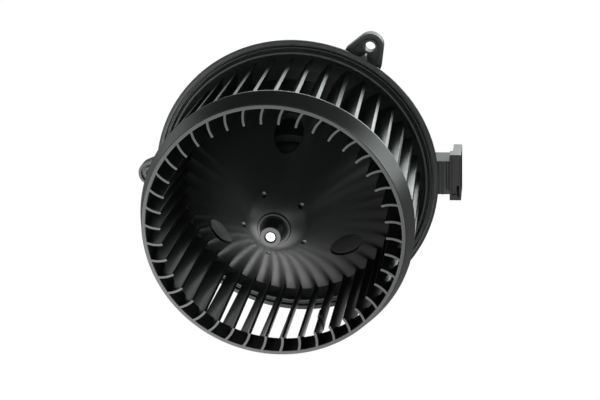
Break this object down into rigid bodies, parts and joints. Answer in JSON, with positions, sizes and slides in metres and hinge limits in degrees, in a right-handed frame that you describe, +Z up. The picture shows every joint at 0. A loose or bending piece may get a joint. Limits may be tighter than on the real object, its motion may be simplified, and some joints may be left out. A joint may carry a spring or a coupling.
{
  "type": "cabin blower",
  "caption": "Car cabin blower: squirrel-cage wheel with forward-curved blades on a brushed motor, in a round mounting flange with screw lugs and a side connector.",
  "frame": {"origin": "where the motor axis crosses the plane of the lugs' front faces, the faces that seat on the duct", "axes": "-Y along the motor axis towards the inlet, +X towards the connector, +Z up"},
  "size_m": [0.2036, 0.1333, 0.1792],
  "materials": {
    "wheel_plastic": "satin moulded, fine grain",
    "flange_plastic": "moulded, glass-filled",
    "connector_plastic": "moulded",
    "shaft_steel": "ground",
    "spring_steel": "oiled",
    "can_steel": "zinc-plated drawn steel",
    "screw_steel": "zinc-plated",
    "core_steel": "laminated, lacquered",
    "copper": "enamelled wire and drawn bar",
    "brass": "tin-plated or bright",
    "bronze": "sintered, oiled",
    "ferrite": "ground ferrite",
    "carbon": "pressed carbon",
    "phenolic": "pressed resin",
    "paper": "slot paper",
    "nylon": "natural",
    "rubber": "moulded",
    "wire_insulation": "PVC covered"
  },
  "bodies": {
    "housing": {"mounting_flange": "flange_plastic", "connector_shell": "connector_plastic", "terminal_blades": "brass", "power_leads": "wire_insulation", "motor_can": "can_steel", "field_magnets": "ferrite", "magnet_springs": "spring_steel", "front_bearing": "bronze", "rear_bearing": "bronze", "bearing_retainers": "spring_steel", "end_cap": "can_steel", "brush_plate": "phenolic", "brush_tubes": "brass", "upper_brush_spring": "spring_steel", "lower_brush_spring": "spring_steel", "choke_coils": "copper", "front_isolator": "rubber", "rear_isolator": "rubber", "rear_cover": "flange_plastic", "cover_screws": "screw_steel"},
    "rotor": {"blower_wheel": "wheel_plastic", "hub_bush": "brass", "wheel_retaining_clip": "spring_steel", "balance_clip": "spring_steel", "motor_shaft": "shaft_steel", "armature_core": "core_steel", "armature_windings": "copper", "slot_insulators": "paper", "commutator_hub": "phenolic", "commutator_bars": "copper", "thrust_washers": "nylon", "oil_slinger": "nylon"},
    "upper_brush_body": {"upper_brush": "carbon"},
    "lower_brush_body": {"lower_brush": "carbon"}
  },
  "joints": [
    {"name": "wheel_spin", "type": "hinge", "parent": "housing", "child": "rotor", "pos_m": [0, 0, 0], "axis": [0, -1, 0], "continuous": true},
    {"name": "upper_brush_slide", "type": "slide", "parent": "housing", "child": "upper_brush_body", "axis": [0, 0, 1], "range_m": [0, 0.002], "stiffness_N_per_m": 150, "springref_m": -0.006, "deforming": ["upper_brush_spring"]},
    {"name": "lower_brush_slide", "type": "slide", "parent": "housing", "child": "lower_brush_body", "axis": [0, 0, -1], "range_m": [0, 0.002], "stiffness_N_per_m": 150, "springref_m": -0.006, "deforming": ["lower_brush_spring"]}
  ]
}
